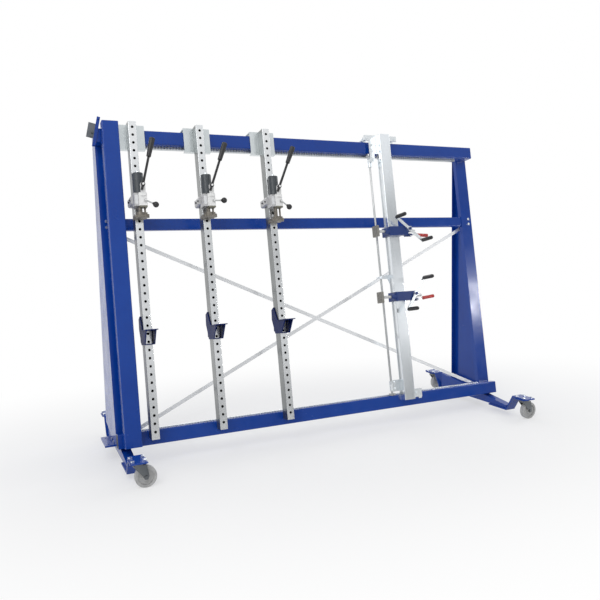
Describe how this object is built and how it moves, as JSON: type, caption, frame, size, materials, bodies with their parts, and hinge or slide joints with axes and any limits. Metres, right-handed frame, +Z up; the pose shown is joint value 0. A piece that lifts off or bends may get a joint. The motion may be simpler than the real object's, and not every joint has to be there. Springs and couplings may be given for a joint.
{
  "type": "upright frame press on castors",
  "caption": "Leaning upright clamping frame on castors: perforated beams with lever presses, a fixed abutment and a movable post with crank clamps for gluing frames.",
  "frame": {"origin": "centre of the bounding box at floor level", "axes": "+X along the rails to the right as seen from the working side, -Y towards the worker, +Z up"},
  "size_m": [3.07, 1.235, 2.1675],
  "materials": {
    "blue_paint": "gloss enamel",
    "zinc_steel": "zinc plated, satin",
    "fork_zinc": "zinc plated, dull",
    "wheel_nylon": "pale polyamide",
    "press_block_zinc": "cast, fine blasted",
    "cylinder_grey": "grey enamel",
    "lever_black": "black grip on black steel bar",
    "knob_black": "black knob on a steel rod",
    "head_dark": "dark, oiled",
    "support_blue": "dark blue enamel",
    "clamp_blue": "blue enamel on casting",
    "rod_steel": "ground steel",
    "crank_steel": "zinc plated bar with black grips",
    "red_grip": "red grip"
  },
  "bodies": {
    "frame": {"left_end_frame": "blue_paint", "right_end_frame": "blue_paint", "left_foot": "blue_paint", "right_foot": "blue_paint", "abutment_beam": "blue_paint", "top_rail": "blue_paint", "middle_rail": "blue_paint", "bottom_rail": "blue_paint", "racks": "zinc_steel", "falling_brace": "zinc_steel", "rising_brace": "zinc_steel", "end_bracket": "blue_paint", "frame_bolts": "zinc_steel"},
    "castor_fl": {"castor_fork_fl": "fork_zinc"},
    "wheel_fl": {"castor_wheel_fl": "wheel_nylon"},
    "castor_fr": {"castor_fork_fr": "fork_zinc"},
    "wheel_fr": {"castor_wheel_fr": "wheel_nylon"},
    "castor_rl": {"castor_fork_rl": "fork_zinc"},
    "wheel_rl": {"castor_wheel_rl": "wheel_nylon"},
    "castor_rr": {"castor_fork_rr": "fork_zinc"},
    "wheel_rr": {"castor_wheel_rr": "wheel_nylon"},
    "beam_1": {"press_beam_1": "zinc_steel", "beam_carriage_1": "zinc_steel"},
    "press_1": {"press_block_1": "press_block_zinc", "press_cylinder_1": "cylinder_grey"},
    "pump_lever_1": {"pump_lever_1": "lever_black"},
    "release_lever_1": {"release_lever_1": "knob_black"},
    "press_head_1": {"press_head_1": "head_dark"},
    "beam_support_1": {"beam_support_1": "support_blue"},
    "beam_2": {"press_beam_2": "zinc_steel", "beam_carriage_2": "zinc_steel"},
    "press_2": {"press_block_2": "press_block_zinc", "press_cylinder_2": "cylinder_grey"},
    "pump_lever_2": {"pump_lever_2": "lever_black"},
    "release_lever_2": {"release_lever_2": "knob_black"},
    "press_head_2": {"press_head_2": "head_dark"},
    "beam_support_2": {"beam_support_2": "support_blue"},
    "beam_3": {"press_beam_3": "zinc_steel", "beam_carriage_3": "zinc_steel"},
    "press_3": {"press_block_3": "press_block_zinc", "press_cylinder_3": "cylinder_grey"},
    "pump_lever_3": {"pump_lever_3": "lever_black"},
    "release_lever_3": {"release_lever_3": "knob_black"},
    "press_head_3": {"press_head_3": "head_dark"},
    "beam_support_3": {"beam_support_3": "support_blue"},
    "post": {"post": "zinc_steel", "post_carriage": "zinc_steel", "post_guide": "zinc_steel"},
    "sync_shaft": {"sync_shaft": "rod_steel"},
    "roller_left": {"post_roller_left": "zinc_steel"},
    "roller_right": {"post_roller_right": "zinc_steel"},
    "clamp_body_upper": {"clamp_body_upper": "clamp_blue"},
    "clamp_rod_upper": {"clamp_rod_upper": "rod_steel"},
    "clamp_crank_upper": {"clamp_crank_upper": "crank_steel"},
    "clamp_lever_upper": {"clamp_lever_upper": "red_grip"},
    "clamp_body_lower": {"clamp_body_lower": "clamp_blue"},
    "clamp_rod_lower": {"clamp_rod_lower": "rod_steel"},
    "clamp_crank_lower": {"clamp_crank_lower": "crank_steel"},
    "clamp_lever_lower": {"clamp_lever_lower": "red_grip"}
  },
  "joints": [
    {"name": "swivel_fl", "type": "hinge", "parent": "frame", "child": "castor_fl", "pos_m": [-1.425, -0.5525, 0.14], "axis": [0, 0, 1], "continuous": true},
    {"name": "roll_fl", "type": "hinge", "parent": "castor_fl", "child": "wheel_fl", "pos_m": [-1.385, -0.5525, 0.0625], "axis": [0, 1, 0], "continuous": true},
    {"name": "swivel_fr", "type": "hinge", "parent": "frame", "child": "castor_fr", "pos_m": [1.425, -0.5525, 0.14], "axis": [0, 0, 1], "continuous": true},
    {"name": "roll_fr", "type": "hinge", "parent": "castor_fr", "child": "wheel_fr", "pos_m": [1.465, -0.5525, 0.0625], "axis": [0, 1, 0], "continuous": true},
    {"name": "swivel_rl", "type": "hinge", "parent": "frame", "child": "castor_rl", "pos_m": [-1.425, 0.5525, 0.14], "axis": [0, 0, 1], "continuous": true},
    {"name": "roll_rl", "type": "hinge", "parent": "castor_rl", "child": "wheel_rl", "pos_m": [-1.385, 0.5525, 0.0625], "axis": [0, 1, 0], "continuous": true},
    {"name": "swivel_rr", "type": "hinge", "parent": "frame", "child": "castor_rr", "pos_m": [1.425, 0.5525, 0.14], "axis": [0, 0, 1], "continuous": true},
    {"name": "roll_rr", "type": "hinge", "parent": "castor_rr", "child": "wheel_rr", "pos_m": [1.465, 0.5525, 0.0625], "axis": [0, 1, 0], "continuous": true},
    {"name": "beam_slide_1", "type": "slide", "parent": "frame", "child": "beam_1", "axis": [1, 0, 0], "range_m": [0, 0.12]},
    {"name": "press_slide_1", "type": "slide", "parent": "beam_1", "child": "press_1", "axis": [0, 0.1668, 0.986], "range_m": [-0.25, 0.05]},
    {"name": "pump_1", "type": "hinge", "parent": "press_1", "child": "pump_lever_1", "pos_m": [-1.246, -0.13662, 1.72905], "axis": [0, 0.986, -0.1668], "range_deg": [-8, 35]},
    {"name": "release_1", "type": "hinge", "parent": "press_1", "child": "release_lever_1", "pos_m": [-1.235, -0.13668, 1.63271], "axis": [0, 0.986, -0.1668], "range_deg": [-34.8, 25.2]},
    {"name": "ram_1", "type": "slide", "parent": "press_1", "child": "press_head_1", "axis": [0, -0.1668, -0.986], "range_m": [-0.026, 0.04]},
    {"name": "support_slide_1", "type": "slide", "parent": "beam_1", "child": "beam_support_1", "axis": [0, 0.1668, 0.986], "range_m": [-0.3, 0.2]},
    {"name": "beam_slide_2", "type": "slide", "parent": "frame", "child": "beam_2", "axis": [1, 0, 0], "range_m": [-0.04, 0.12]},
    {"name": "press_slide_2", "type": "slide", "parent": "beam_2", "child": "press_2", "axis": [0, 0.1668, 0.986], "range_m": [-0.25, 0.05]},
    {"name": "pump_2", "type": "hinge", "parent": "press_2", "child": "pump_lever_2", "pos_m": [-0.812, -0.13662, 1.72905], "axis": [0, 0.986, -0.1668], "range_deg": [-10, 30]},
    {"name": "release_2", "type": "hinge", "parent": "press_2", "child": "release_lever_2", "pos_m": [-0.801, -0.13668, 1.63271], "axis": [0, 0.986, -0.1668], "range_deg": [-8.7, 51.3]},
    {"name": "ram_2", "type": "slide", "parent": "press_2", "child": "press_head_2", "axis": [0, -0.1668, -0.986], "range_m": [-0.024, 0.04]},
    {"name": "support_slide_2", "type": "slide", "parent": "beam_2", "child": "beam_support_2", "axis": [0, 0.1668, 0.986], "range_m": [-0.3, 0.2]},
    {"name": "beam_slide_3", "type": "slide", "parent": "frame", "child": "beam_3", "axis": [1, 0, 0], "range_m": [-0.04, 0.2]},
    {"name": "press_slide_3", "type": "slide", "parent": "beam_3", "child": "press_3", "axis": [0, 0.1668, 0.986], "range_m": [-0.25, 0.05]},
    {"name": "pump_3", "type": "hinge", "parent": "press_3", "child": "pump_lever_3", "pos_m": [-0.345, -0.13662, 1.72905], "axis": [0, 0.986, -0.1668], "range_deg": [-10, 25]},
    {"name": "release_3", "type": "hinge", "parent": "press_3", "child": "release_lever_3", "pos_m": [-0.334, -0.13668, 1.63271], "axis": [0, 0.986, -0.1668], "range_deg": [-46.1, 13.9]},
    {"name": "ram_3", "type": "slide", "parent": "press_3", "child": "press_head_3", "axis": [0, -0.1668, -0.986], "range_m": [-0.054, 0.012]},
    {"name": "support_slide_3", "type": "slide", "parent": "beam_3", "child": "beam_support_3", "axis": [0, 0.1668, 0.986], "range_m": [-0.3, 0.2]},
    {"name": "post_slide", "type": "slide", "parent": "frame", "child": "post", "axis": [1, 0, 0], "range_m": [-0.25, 0.5]},
    {"name": "sync_turn", "type": "hinge", "parent": "post", "child": "sync_shaft", "pos_m": [0.508, -0.03053, 1.06709], "axis": [0, 0.1668, 0.986], "continuous": true},
    {"name": "roller_turn_left", "type": "hinge", "parent": "post", "child": "roller_left", "pos_m": [0.475, 0.1601, 2.1102], "axis": [0, 0.986, -0.1668], "continuous": true},
    {"name": "roller_turn_right", "type": "hinge", "parent": "post", "child": "roller_right", "pos_m": [0.715, 0.1601, 2.1102], "axis": [0, 0.986, -0.1668], "continuous": true},
    {"name": "clamp_slide_upper", "type": "slide", "parent": "post", "child": "clamp_body_upper", "axis": [0, 0.1668, 0.986], "range_m": [-0.06, 0.15]},
    {"name": "crank_upper", "type": "hinge", "parent": "clamp_body_upper", "child": "clamp_crank_upper", "pos_m": [0.696, -0.13123, 1.43706], "axis": [0, -0.986, 0.1668], "range_deg": [-286, 47]},
    {"name": "rod_upper", "type": "slide", "parent": "clamp_body_upper", "child": "clamp_rod_upper", "axis": [1, 0, 0], "range_m": [-0.06, 0.01]},
    {"name": "red_lever_upper", "type": "hinge", "parent": "clamp_body_upper", "child": "clamp_lever_upper", "pos_m": [0.725, -0.10635, 1.39228], "axis": [0, 0.986, -0.1668], "range_deg": [-8, 35]},
    {"name": "clamp_slide_lower", "type": "slide", "parent": "post", "child": "clamp_body_lower", "axis": [0, 0.1668, 0.986], "range_m": [-0.15, 0.008]},
    {"name": "crank_lower", "type": "hinge", "parent": "clamp_body_lower", "child": "clamp_crank_lower", "pos_m": [0.696, -0.21178, 0.96083], "axis": [0, -0.986, 0.1668], "range_deg": [-286, 47]},
    {"name": "rod_lower", "type": "slide", "parent": "clamp_body_lower", "child": "clamp_rod_lower", "axis": [1, 0, 0], "range_m": [-0.06, 0.01]},
    {"name": "red_lever_lower", "type": "hinge", "parent": "clamp_body_lower", "child": "clamp_lever_lower", "pos_m": [0.725, -0.1869, 0.91605], "axis": [0, 0.986, -0.1668], "range_deg": [-2, 40]}
  ],
  "couplings": [
    {"joint": "sync_turn", "follows": "post_slide", "rad_per_m": 39.27},
    {"joint": "roller_turn_left", "follows": "post_slide", "rad_per_m": 50},
    {"joint": "roller_turn_right", "follows": "post_slide", "rad_per_m": 50},
    {"joint": "rod_upper", "follows": "crank_upper", "m_per_rad": 0.012},
    {"joint": "rod_lower", "follows": "crank_lower", "m_per_rad": 0.012}
  ]
}
